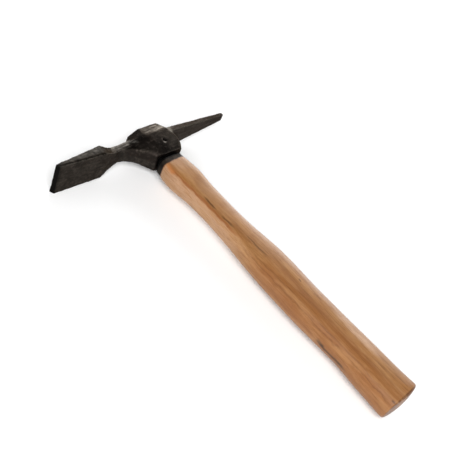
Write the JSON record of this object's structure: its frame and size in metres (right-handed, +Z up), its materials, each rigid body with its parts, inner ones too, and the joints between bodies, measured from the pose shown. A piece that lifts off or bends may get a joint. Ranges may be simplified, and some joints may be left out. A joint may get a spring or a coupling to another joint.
{
  "type": "chipping hammer",
  "caption": "Welder's chipping hammer: forged black steel head with a wide blade and a narrow pick, wedged and pinned on an oval wooden handle.",
  "frame": {"origin": "middle of the hammer's box, on the floor that it lies on", "axes": "+X along the head from blade to pick, +Y up the handle towards the head, +Z up, square to the cheek that faces up"},
  "size_m": [0.1874, 0.3022, 0.0296],
  "materials": {
    "forged_steel": "black oxide over forged scale, satin",
    "handle_wood": "thin clear varnish, black dip at the shoulder",
    "wedge_wood": "raw sawn end grain",
    "wedge_steel": "dull mill finish",
    "pin_steel": "dull, darkened"
  },
  "bodies": {
    "root": {"head": "forged_steel", "handle": "handle_wood", "wooden_wedge": "wedge_wood", "steel_wedge": "wedge_steel", "retaining_pin": "pin_steel"}
  },
  "joints": []
}
